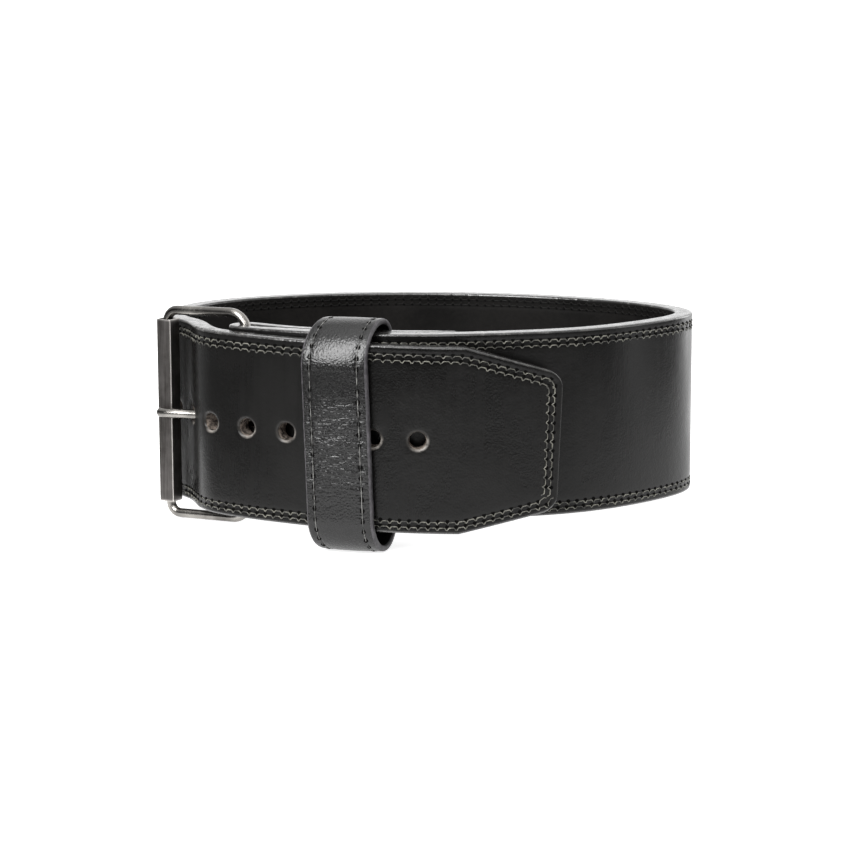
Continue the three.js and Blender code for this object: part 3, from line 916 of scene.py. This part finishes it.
class SeamPoints:
    """Places of stitches on a surface, with the way that each runs and stands."""

    def __init__(self, surface):
        self.surface = surface
        self.points, self.runs, self.rises = [], [], []

    def follow(self, flat, outwards=1):
        """Adds the stitches of a closed row given in the surface's flat coordinates."""
        ahead = np.roll(flat, -1, axis=0)
        step = ahead - flat
        # Stitches on the way back are turned round, so that all of them hang the same way.
        way = np.where(step[:, 0] < -0.5 * np.abs(step[:, 1]), -1, 1)
        here, there = self.surface(flat), self.surface(ahead)
        tiny = 0.2 * MM
        across = self.surface(flat + (0, tiny)) - self.surface(flat - (0, tiny))
        along = self.surface(flat + (tiny, 0)) - self.surface(flat - (tiny, 0))
        self.points.append((here + there) / 2)
        self.runs.append((there - here) * way[:, None])
        self.rises.append(np.cross(along, across) * outwards)

    def build(self, name, placing, keep=None):
        """A mesh of loose points that carries the directions for the stitches."""
        points, runs, rises = (np.vstack(v) for v in (self.points, self.runs, self.rises))
        if keep is not None:
            points, runs, rises = points[keep], runs[keep], rises[keep]
        turn = np.array(placing.matrix.to_3x3()).T
        mesh = bpy.data.meshes.new(name)
        mesh.from_pydata(placing.points(points).tolist(), [], [])
        for label, values in (("run", runs @ turn), ("rise", unit(rises @ turn))):
            attribute = mesh.attributes.new(label, "FLOAT_VECTOR", "POINT")
            attribute.data.foreach_set("vector", values.ravel())
        return new_object(name, mesh)


STITCH_SIZES = ("Pitch", "Thread radius", "Stand", "Dip")


def stitch_tree(name, make_stitch, material):
    """Geometry Nodes that set one stitch on each point, turned to its seam."""
    tree = bpy.data.node_groups.new(name, "GeometryNodeTree")
    tree.interface.new_socket("Geometry", in_out="INPUT", socket_type="NodeSocketGeometry")
    for label in STITCH_SIZES:
        tree.interface.new_socket(label, in_out="INPUT", socket_type="NodeSocketFloat")
    tree.interface.new_socket("Geometry", in_out="OUTPUT", socket_type="NodeSocketGeometry")
    sheet = Sheet(tree)
    entry = sheet.add("NodeGroupInput")
    stitch = make_stitch(sheet, *(Flow(sheet, entry.outputs[label]) for label in STITCH_SIZES))
    run, rise = (
        sheet.add("GeometryNodeInputNamedAttribute", {"Name": name}, data_type="FLOAT_VECTOR")
        for name in ("run", "rise")
    )
    values = {"Primary Axis": run, "Secondary Axis": rise}
    turned = sheet.add("FunctionNodeAxesToRotation", values, primary_axis="X", secondary_axis="Z")
    limits = {"Min": (1.0, 0.8, 0.85), "Max": (1.03, 1.25, 1.15), "Seed": 5}
    uneven = sheet.add("FunctionNodeRandomValue", limits, data_type="FLOAT_VECTOR")
    values = {"Points": entry.outputs["Geometry"], "Instance": stitch, "Rotation": turned}
    placed = sheet.add("GeometryNodeInstanceOnPoints", {**values, "Scale": uneven})
    real = sheet.add("GeometryNodeRealizeInstances", {"Geometry": placed})
    dyed = sheet.add("GeometryNodeSetMaterial", {"Geometry": real, "Material": material})
    sheet.add("NodeGroupOutput", {"Geometry": dyed})
    return tree


def thread_stitch(sheet, pitch, radius, stand, dip):
    """One thread between two holes. It hangs below them, and lower still under each hole."""
    values = {
        "Count": STITCH_SEGMENTS + 1,
        "Offset": sheet.add("ShaderNodeCombineXYZ", {"X": pitch / STITCH_SEGMENTS}),
        "Start Location": sheet.add("ShaderNodeCombineXYZ", {"X": pitch * -0.5}),
    }
    line = sheet.add("GeometryNodeMeshLine", values, mode="OFFSET", count_mode="TOTAL")
    place = sheet.add("GeometryNodeInputPosition")
    x = Flow(sheet, sheet.add("ShaderNodeSeparateXYZ", {"Vector": place}).outputs["X"])
    to_hole = pitch * 0.5 - x.absolute()
    under_hole = to_hole.ramp(0.1 * MM, 1.2 * MM, 1.0, 0.0)
    sink = dip * (under_hole * -0.7 - 0.3)
    height = stand * (1 - under_hole * 0.5)
    lifted = sheet.add("ShaderNodeCombineXYZ", {"Y": sink, "Z": height})
    bent = sheet.add("GeometryNodeSetPosition", {"Geometry": line, "Offset": lifted})
    curve = sheet.add("GeometryNodeMeshToCurve", {"Mesh": bent})
    ring = sheet.add("GeometryNodeCurvePrimitiveCircle", {"Resolution": 6, "Radius": radius})
    values = {"Curve": curve, "Profile Curve": ring, "Fill Caps": True}
    tube = sheet.add("GeometryNodeCurveToMesh", values)
    return sheet.add("GeometryNodeSetShadeSmooth", {"Geometry": tube})


def hole_shade_disc(sheet, pitch, radius, stand, dip):
    """A dark oval disc half a stitch back, where the needle went through: the hole's shade, painted."""
    values = {"Vertices": 10, "Radius": radius * PIT_RADII}
    disc = sheet.add("GeometryNodeMeshCircle", values, fill_type="NGON")
    moved = sheet.add("ShaderNodeCombineXYZ", {"X": pitch * -0.5, "Z": stand * 0.25})
    values = {"Geometry": disc, "Translation": moved, "Scale": (1.0, 0.85, 1.0)}
    return sheet.add("GeometryNodeTransform", values)


def sewn(points, name, make_stitch, material, sizes):
    """A plain mesh of stitches on the points of a seam."""
    tree = stitch_tree(name + " tree", make_stitch, material)
    modifier = points.modifiers.new("stitches", "NODES")
    modifier.node_group = tree
    identifiers = {entry.name: entry.identifier for entry in tree.interface.items_tree}
    for label, size in zip(STITCH_SIZES, sizes):
        modifier[identifiers[label]] = size
    graph = bpy.context.evaluated_depsgraph_get()
    mesh = bpy.data.meshes.new_from_object(points.evaluated_get(graph))
    mesh.name = name
    points.modifiers.remove(modifier)
    return new_object(name, mesh)


def strap_seam(placing, side):
    """Stitch places of the double seam round the strap, on its outer or inner face."""
    def surface(flat):
        length, height = flat[:, 0], flat[:, 1]
        return route.at(length, side * (route.half(length) - SEAM_SINK * 0.7), height)

    seam = SeamPoints(surface)
    lengths = []
    for row, inset in enumerate(SEAM_ROWS):
        outline = softened(cut_corner_outline(inset), SEAM_CORNER)
        flat = walked(outline, SEAM_PITCH, row * 0.5)
        seam.follow(flat, side)
        lengths.append(flat[:, 0])
    hidden_until = fold_middle + RETURN_LENGTH
    keep = np.concatenate(lengths) > (0 if side > 0 else hidden_until)
    return seam.build("seam places", placing, keep)


class Buckle:
    """The buckle's own directions: along from the roller's axis to the bar, out, and up."""

    def __init__(self):
        stand_off = ROLLER_SIDE * math.sqrt(0.5) + TOUCH_GAP
        self.axis = waist.off(np.array([roller_station]), [stand_off])[0][0]
        self.length = float(np.linalg.norm(bar_point - self.axis))
        self.along = (bar_point - self.axis) / self.length
        self.out = turned_right(self.along)

    def at(self, along, out, height):
        point = self.axis + np.multiply.outer(along, self.along) + np.multiply.outer(out, self.out)
        return at_height(point, np.broadcast_to(height, np.shape(along)))


buckle = Buckle()
roller_middle = MIDDLE + float(sag_at(roller_station)[0])
prong_height = MIDDLE + float(sag_at(roller_station + PRONG_REACH)[0])


def frame_line():
    """The frame's middle line, with tighter corners at the roller."""
    reach = MIDDLE + FRAME_ROOM + WIRE_DIAMETER / 2
    corners = [
        (buckle.length, 1, FRAME_BAR_CORNER, 0),
        (0, 1, FRAME_ROLLER_CORNER, 90),
        (0, -1, FRAME_ROLLER_CORNER, 180),
        (buckle.length, -1, FRAME_BAR_CORNER, 270),
    ]
    line = []
    for along, up, radius, start in corners:
        for turn in np.radians(start + np.linspace(0, 90, 13)):
            inner = radius if along == 0 else along - radius
            reached = inner + radius * math.cos(turn)
            middle = MIDDLE - FRAME_SAG + FRAME_LIFT * reached / buckle.length
            height = middle + up * (reach - radius) + radius * math.sin(turn)
            line.append(buckle.at(reached, 0, height))
    return walked(line, TUBE_STEP, 0)


def tube_rings(shell, line, radius, side, closed=False):
    """Rings of points round a line; side is square to the line everywhere."""
    if closed:
        travel = unit(np.roll(line, -1, axis=0) - np.roll(line, 1, axis=0))
    else:
        travel = unit(np.gradient(line, axis=0))
    radii = np.broadcast_to(radius, len(line))
    other = np.cross(np.broadcast_to(side, travel.shape), travel)
    turn = 2 * math.pi * np.arange(TUBE_SIDES) / TUBE_SIDES
    rings = []
    for point, across, size in zip(line, other, radii):
        ring = point + size * (np.outer(np.cos(turn), across) + np.outer(np.sin(turn), side))
        uvs = uvs_at(len(rings) * TUBE_STEP, turn * WIRE_DIAMETER / 2)
        rings.append(shell.add_points(ring, uvs))
    shell.bands(rings + rings[:1] if closed else rings)
    return rings


def buckle_frame(placing, material):
    shell = Shell()
    side = np.append(buckle.out, 0)
    tube_rings(shell, frame_line(), WIRE_DIAMETER / 2, side, closed=True)
    return shell.build("buckle_wire", placing, [material])


def curve_through(points, count):
    """Evenly spaced places on a smooth curve through points."""
    points = np.array(points)
    padded = np.vstack([2 * points[0] - points[1], points, 2 * points[-1] - points[-2]])
    line = []
    for k in range(1, len(padded) - 2):
        p0, p1, p2, p3 = padded[k - 1 : k + 3]
        for u in np.linspace(0, 1, 20, endpoint=False):
            bend = 2 * p0 - 5 * p1 + 4 * p2 - p3
            swing = -p0 + 3 * p1 - 3 * p2 + p3
            line.append(0.5 * (2 * p1 + (p2 - p0) * u + bend * u**2 + swing * u**3))
    line.append(padded[-2])
    lengths = run_lengths(line)
    return picked(np.linspace(0, lengths[-1], count), lengths, line)


def prong(placing, material):
    """The prong: a bent wire with a blunt end on the roller and an eye round the bar."""
    shell = Shell()
    on_roller = (ROLLER_SIDE + PRONG_DIAMETER) / 2 + TOUCH_GAP
    eye_radius = fold_inside + PRONG_DIAMETER / 2
    to_eye = buckle.length - eye_radius
    half_way = blend(ROLLER_SIDE / 2, to_eye, 0.5)
    places = [
        (-PRONG_OVERSHOOT, on_roller), (0, on_roller), (ROLLER_SIDE / 2, on_roller),
        (half_way, on_roller * 0.45), (to_eye, 0),
    ]
    line = curve_through([buckle.at(along, out, prong_height) for along, out in places], PRONG_SAMPLES)
    up = np.array([0, 0, 1.0])
    from_end = np.linalg.norm(line - line[0], axis=1)
    radius = PRONG_DIAMETER / 2 - rounded_away(from_end, PRONG_END_ROUND) * 0.8
    rings = tube_rings(shell, line, radius, up)
    shell.add_face(rings[0], 0)
    shell.add_face(rings[-1], 0)
    turn = 2 * math.pi * np.arange(EYE_SAMPLES) / EYE_SAMPLES
    eye = buckle.at(buckle.length + eye_radius * np.cos(turn), eye_radius * np.sin(turn), prong_height)
    tube_rings(shell, eye, PRONG_DIAMETER / 2, up, closed=True)
    return sharpened(shell.build("buckle_prong", placing, [material]), 50)


def square_outline(side, corner, arc_steps):
    """A square with rounded corners, with a mark of how near each point is to a corner."""
    flat = side / 2 - corner
    outline, marks = [], []
    for quarter in range(4):
        for turn in np.radians(90 * quarter + np.linspace(0, 90, arc_steps + 1)):
            centre = np.radians(90 * quarter + 45)
            middle = flat * math.sqrt(2) * np.array([math.cos(centre), math.sin(centre)])
            outline.append(middle + corner * np.array([math.cos(turn), math.sin(turn)]))
            marks.append(1 - abs(turn - centre) / np.radians(45))
    return np.array(outline), np.array(marks)


def roller(placing):
    """The roller: a square sleeve folded from sheet, its ends a little ragged."""
    shell = Shell()
    outer, marks = square_outline(ROLLER_SIDE, ROLLER_CORNER, 6)
    inner, _ = square_outline(ROLLER_SIDE - 2 * ROLLER_SHEET, ROLLER_CORNER * 0.5, 6)
    length = STRAP_WIDTH + 2 * ROLLER_OVERHANG
    heights = np.concatenate([
        [0, 0.25 * MM], np.linspace(1.2 * MM, length - 1.2 * MM, 40), [length - 0.25 * MM, length],
    ])
    perimeter = run_lengths(outer)

    def near_end(height, reach):
        return max(0.0, 1 - min(height, length - height) / reach)

    def ring(outline, height, wear_and_highlight):
        ragged = [noise.noise(Vector((x / MM, y / MM, height / MM))) for x, y in outline]
        points = buckle.at(outline[:, 0], outline[:, 1], roller_middle - length / 2 + height)
        points[:, 2] += ROLLER_RAGGED * np.array(ragged) * near_end(height, 2 * MM)
        return shell.add_points(points, np.flip(uvs_at(height, perimeter), axis=-1), wear_and_highlight)

    outside = []
    for height in heights:
        rim = near_end(height, 0.5 * MM)
        # Corners and ends get a high number: rubbed wear, and on the corners a painted highlight.
        wear_and_highlight = np.clip(marks * 2.6 - 1.6, 0, 1) * 0.8 + rim * 0.5
        outside.append(ring(outer * (1 - 0.02 * rim), height, np.minimum(wear_and_highlight, 1)))
    inside = [ring(inner, height, 0.1) for height in heights]
    shell.bands(outside)
    shell.bands(inside)
    shell.band(outside[0], inside[0])
    shell.band(outside[-1], inside[-1])
    return sharpened(shell.build("buckle_roller", placing, [roller_steel()]), 40)


class KeeperShape:
    """The keeper's loop round the layers, as places round it and across its width."""

    def __init__(self):
        outside = STRAP_THICKNESS + TONGUE_GAP
        inside = STRAP_THICKNESS + LAYER_GAP + FOLD_THICKNESS
        self.centre = (outside - inside) / 2
        half_stack = (outside + inside) / 2
        self.station = waist.length + KEEPER_PLACE
        sag = -float(sag_at(self.station)[0])
        self.nod = sag / (2 * half_stack)
        self.top = STRAP_WIDTH + KEEPER_ROOM_ABOVE
        self.bottom = -sag - KEEPER_ROOM_BELOW
        self.half_height = (self.top - self.bottom) / 2
        self.half_depth = max(
            self.depth_for(half_stack, KEEPER_ROOM_ABOVE + sag / 2, KEEPER_TOP_ARCH),
            self.depth_for(half_stack, KEEPER_ROOM_BELOW + sag / 2, KEEPER_BOTTOM_ARCH),
        )
        turn = np.linspace(0, math.pi, 49)
        self.inner = self.closed(turn, 0, 0)
        self.outer = self.closed(turn, KEEPER_THICKNESS, KEEPER_SOFTER_ARCH)
        self.girth = run_lengths(self.outer)
        self.around = self.girth[-1]

    @staticmethod
    def depth_for(half_stack, room, arch):
        """Half the loop's depth at which an arch clears the rounded corner of the stack."""
        depths = []
        for deep, drop in ((half_stack, EDGE_ROUND), (half_stack - EDGE_ROUND, 0)):
            up_the_arch = max(0, 1 - (room + drop - KEEPER_EASE) / arch)
            depths.append((deep + KEEPER_EASE) / math.sqrt(1 - up_the_arch**2))
        return max(depths)

    def closed(self, turn, wall, softer):
        """One face of the loop: upright sides between two half ellipses."""
        line = []
        for side, arch in ((1, KEEPER_TOP_ARCH + softer), (-1, KEEPER_BOTTOM_ARCH)):
            deep = side * (self.half_depth + wall) * np.cos(turn)
            high = side * (self.half_height - arch + (arch + wall) * np.sin(turn))
            line.append(np.stack([deep, high], axis=-1))
        return np.vstack([*line, line[0][:1]])

    def at(self, round_length, across, stand):
        """Points of the keeper: round the loop, across its width and off its wall's middle."""
        place = np.mod(round_length, self.around)
        share = 0.5 + np.asarray(stand)[..., None] / KEEPER_THICKNESS
        inner, outer = (picked(place, self.girth, line) for line in (self.inner, self.outer))
        deep, height = np.moveaxis(blend(inner, outer, share), -1, 0)
        lean = math.tan(math.radians(KEEPER_LEAN_DEG))
        station = self.station - across - lean * height - KEEPER_SKEW * deep
        point, _, _ = waist.off(station, self.centre + deep)
        return at_height(point, (self.top + self.bottom) / 2 + height - self.nod * deep)


def keeper_section():
    """Places across, stand-offs and finishes round a section of the keeper."""
    half, wall = KEEPER_WIDTH / 2, KEEPER_THICKNESS / 2
    side = half - np.array([KEEPER_CORNER, *KEEPER_COLUMNS])
    inwards = half - KEEPER_INNER_COLUMN
    face = np.concatenate([side, np.linspace(inwards, -inwards, 7), -side[::-1]])
    sunk = KEEPER_SINK * np.interp(half - np.abs(face), *KEEPER_VALLEY)
    crown = KEEPER_CROWN * (1 - (face / face[0]) ** 2)
    lining = np.full(len(face), -wall)
    outer = wall - sunk + crown
    section = round_section(face, outer, lining, half, wall, KEEPER_CORNER, KEEPER_FLATS)
    return (*section, section_finishes(len(face), KEEPER_FLATS))


def keeper(placing, shape):
    """The keeper, uneven and creased across its middle."""
    shell = Shell()
    across, stand, finishes = keeper_section()
    girth = run_lengths(np.stack([across, stand], axis=-1))
    outside = np.where(stand > 0, KEEPER_UNEVEN, 0.0)
    rings = []
    for length in np.linspace(0, shape.around, round(shape.around / KEEPER_RING_STEP), endpoint=False):
        heights = shape.at(np.full_like(across, length), across, np.zeros_like(across))[:, 2]
        creased = smoothstep(np.abs(heights - CREASE_HEIGHT), *CREASE_SPREAD)
        uneven = np.array([noise.noise(Vector((a * 110, length * 210, 3.1))) for a in across])
        points = shape.at(np.full_like(across, length), across, stand + outside * uneven * creased)
        rings.append(shell.add_points(points, uvs_at(length, girth), blend(LEAST_CREASED, 1, creased)))
    for lower, upper in zip(rings, rings[1:] + rings[:1]):
        shell.band(lower, upper, finishes)
    materials = [keeper_leather(), lining_leather(), keeper_edge()]
    return sharpened(shell.build("belt_keeper", placing, materials, "creased"), 50)


def keeper_seam(placing, shape):
    """Stitch places of the keeper's two rows."""
    stand = KEEPER_THICKNESS / 2 - 0.1 * MM
    seam = SeamPoints(lambda flat: shape.at(flat[:, 0], flat[:, 1], np.full(len(flat), stand)))
    count = round(shape.around / KEEPER_PITCH)
    places = np.arange(count) * shape.around / count
    for side in (1, -1):
        across = np.full(count, side * (KEEPER_WIDTH / 2 - KEEPER_SEAM))
        seam.follow(np.stack([places, across], axis=-1))
    return seam.build("keeper seam places", placing)


def camera(placing):
    """The camera that stands as the photograph's did."""
    data = bpy.data.cameras.new("photo camera")
    data.sensor_width = SENSOR
    data.lens = SENSOR * FOCAL_PIXELS / PHOTO_SIDE
    data.clip_end = 50
    obj = new_object("photo camera", data)
    tilt = Matrix.Rotation(math.radians(90 - CAMERA_DOWN_DEG), 4, "X")
    roll = Matrix.Rotation(math.radians(CAMERA_ROLL_DEG), 4, "Z")
    obj.matrix_world = placing.matrix @ Matrix.Translation(CAMERA_PLACE) @ tilt @ roll
    bpy.context.scene.camera = obj


def softbox(name, place, aim, size, power):
    """A rectangular area light that looks at a point."""
    data = bpy.data.lights.new(name, "AREA")
    data.shape = "RECTANGLE"
    data.size, data.size_y = size
    data.energy = power
    obj = new_object(name, data)
    obj.location = place
    obj.rotation_euler = (Vector(aim) - Vector(place)).to_track_quat("-Z", "Y").to_euler()


def studio():
    """A pale floor, a bright surround that is darker on the camera's side, and soft lights."""
    bpy.context.scene.view_settings.view_transform = "Standard"
    world = bpy.data.worlds.new("studio")
    bpy.context.scene.world = world
    world.use_nodes = True
    sheet = Sheet(world.node_tree)
    world.node_tree.nodes.clear()
    direction = sheet.add("ShaderNodeTexCoord").outputs["Generated"]
    parts = sheet.add("ShaderNodeSeparateXYZ", {"Vector": direction})
    x, y, z = (Flow(sheet, parts.outputs[axis]) for axis in "XYZ")
    strength = (y + z * 0.8 + x * 0.5).ramp(-0.4, 0.6, 0.05, 0.95) + z.ramp(0.85, 0.98) * 1.2
    strength = strength + (y + x * 0.4).ramp(0.5, 0.95) * 0.7
    light = sheet.add("ShaderNodeBackground", {"Color": (1, 1, 1, 1), "Strength": strength})
    sheet.add("ShaderNodeOutputWorld", {"Surface": light})
    aim = (0, 0, 0.06)
    softbox("front box", (0.1, -1.5, 1.4), aim, (1.0, 0.6), 10)
    softbox("left box", (-0.69, -0.92, 1.02), aim, (0.5, 1.3), 34)
    softbox("right strip", (0.372, 0.175, 0.15), (0.142, -0.018, 0.1), (0.12, 0.3), 0.34)
    softbox("right glow", (0.46, -0.08, 0.13), (0.115, -0.045, 0.1), (0.07, 0.25), 0.09)
    mesh = bpy.data.meshes.new("floor")
    corners = [(x * FLOOR_REACH, y * FLOOR_REACH, 0) for x, y in ((-1, -1), (1, -1), (1, 1), (-1, 1))]
    mesh.from_pydata(corners, [], [(0, 1, 2, 3)])
    mesh.materials.append(pale_floor())
    new_object("floor", mesh)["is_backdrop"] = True


def dress(piece, node=None):
    """Fastens a piece to the belt's one body."""
    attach(piece, "root")
    if node:
        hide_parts(node)


def stitched(name, slot, places, *layers):
    """Dresses a seam's layers, each with its ending, its make, its material and its sizes."""
    for ending, make, material, sizes in layers:
        dress(sewn(places, name + ending, make, material, sizes))
    bpy.data.objects.remove(places)


def sew_strap(placing, hole_shade):
    """The double seam on both faces of the strap. Inside, the needle holes' painted shade is smaller.
    """
    inner_thread = black_thread("lining thread", (0.008, 0.0077, 0.007), 0.12)
    for side, name, thread, pit_size in (
        (1, "outer", strap_thread(), THREAD_RADIUS), (-1, "inner", inner_thread, THREAD_RADIUS / 2),
    ):
        stitched(
            name, "strap_leather", strap_seam(placing, side),
            ("_stitches", thread_stitch, thread, (SEAM_PITCH, THREAD_RADIUS, SEAM_STAND, SEAM_DIP)),
            ("_hole_shade_discs", hole_shade_disc, hole_shade, (SEAM_PITCH, pit_size, SEAM_STAND, SEAM_DIP)),
        )


def sew_keeper(placing, shape, hole_shade):
    """The keeper's two rows, in a finer black thread."""
    thread = black_thread("keeper thread", (0.16, 0.157, 0.15), 0.5)
    stitched(
        "keeper", "keeper_leather", keeper_seam(placing, shape),
        ("_stitches", thread_stitch, thread, (KEEPER_PITCH, 0.9 * THREAD_RADIUS, 0.2 * MM, 0.0)),
        ("_hole_shade_discs", hole_shade_disc, hole_shade, (KEEPER_PITCH, 0.36 * MM, 0.6 * MM, 0.0)),
    )


def main():
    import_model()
    cad_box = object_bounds()
    placing = Placing(Vector((*buckle.axis, roller_middle)))

    dress(strap(placing), "strap")
    hole_shade = hole_shade_finish()
    sew_strap(placing, hole_shade)

    shape = KeeperShape()
    dress(keeper(placing, shape), "keeper")
    sew_keeper(placing, shape, hole_shade)

    steel = buckle_steel()
    dress(buckle_frame(placing, steel), "buckle_frame")
    dress(prong(placing, steel), "prong")
    dress(roller(placing), "roller")

    camera(placing)
    studio()
    boxes = {"cad": cad_box, "visual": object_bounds()}
    boxes = {name: [list(corner) for corner in corners] for name, corners in boxes.items()}


main()
